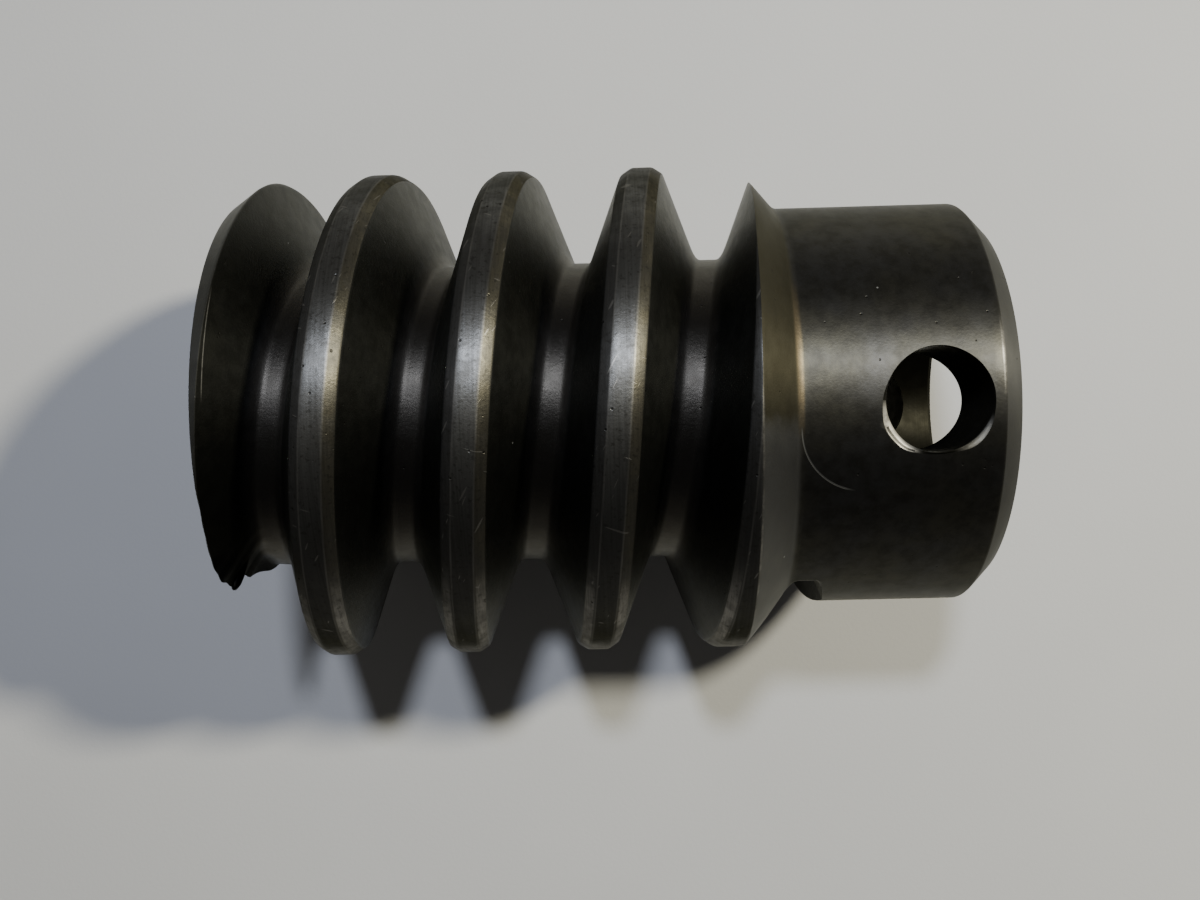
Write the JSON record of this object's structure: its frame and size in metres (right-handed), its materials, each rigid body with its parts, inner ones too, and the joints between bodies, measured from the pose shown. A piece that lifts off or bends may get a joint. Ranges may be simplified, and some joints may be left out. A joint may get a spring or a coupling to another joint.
{
  "type": "worm with hub",
  "caption": "Left-hand worm with a plain hub, bored through for a shaft and cross-drilled through the hub for a drive pin.",
  "frame": {"origin": "on the worm's axis, at the middle of its overall length", "axes": "+X along the axis towards the hub end, +Z through the middle of the pin hole, up as the worm lies on its thread crests"},
  "size_m": [0.0374, 0.0254, 0.0254],
  "materials": {
    "oiled_steel": "dark oiled machined steel: fine turning marks, brighter worn crest lands and turned shoulder, brown and olive oil tint"
  },
  "bodies": {
    "root": {"worm": "oiled_steel"}
  },
  "joints": []
}
